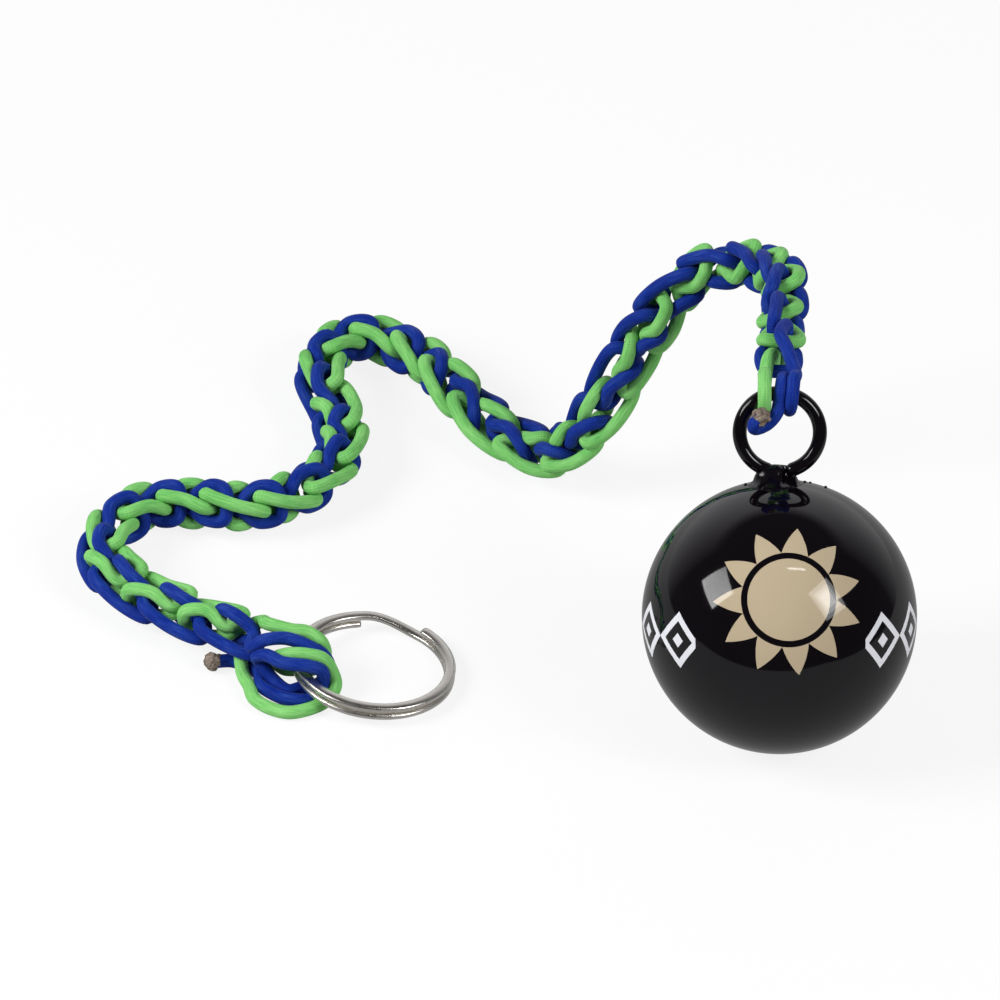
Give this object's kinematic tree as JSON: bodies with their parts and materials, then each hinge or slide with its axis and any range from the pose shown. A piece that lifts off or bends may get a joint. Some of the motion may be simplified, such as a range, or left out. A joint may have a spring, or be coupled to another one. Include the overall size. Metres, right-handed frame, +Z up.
{
  "type": "ball key lanyard",
  "caption": "Glossy lacquered ball with a welded wire eye, on a lanyard of blue and green elastic cord looped hand over hand, ending in a split key ring.",
  "frame": {"origin": "on the table, below the middle of the box round the ball, the eye and the split ring", "axes": "+X from the split ring towards the ball, +Z up from the table, +Y away from the pictured side"},
  "size_m": [0.1534, 0.1366, 0.0671],
  "materials": {
    "ball_lacquer": "gloss black lacquer over steel",
    "eye_lacquer": "gloss black lacquer over steel rod",
    "weld_lacquer": "gloss black lacquer over a weld bead",
    "nickel_wire": "nickel plated spring steel",
    "blue_sleeve": "woven sleeve over elastic",
    "green_sleeve": "woven sleeve over elastic",
    "burnt_end": "melted and charred cord end"
  },
  "bodies": {
    "lanyard": {"blue_cord": "blue_sleeve", "green_cord": "green_sleeve", "eye_end_melt": "burnt_end", "ring_end_melt": "burnt_end"},
    "ball": {"ball": "ball_lacquer", "eye_ring": "eye_lacquer", "eye_weld": "weld_lacquer"},
    "key_ring": {"split_ring": "nickel_wire"}
  },
  "joints": [
    {"name": "eye_swing", "type": "hinge", "parent": "lanyard", "child": "ball", "pos_m": [0.03195, 0.01654, 0.06249], "axis": [1, 0, 0], "range_deg": [-195, 45]},
    {"name": "ring_swing", "type": "hinge", "parent": "lanyard", "child": "key_ring", "pos_m": [-0.05549, 0.0082, 0.00462], "axis": [0.2588, -0.9659, 0], "range_deg": [0, 110]}
  ]
}
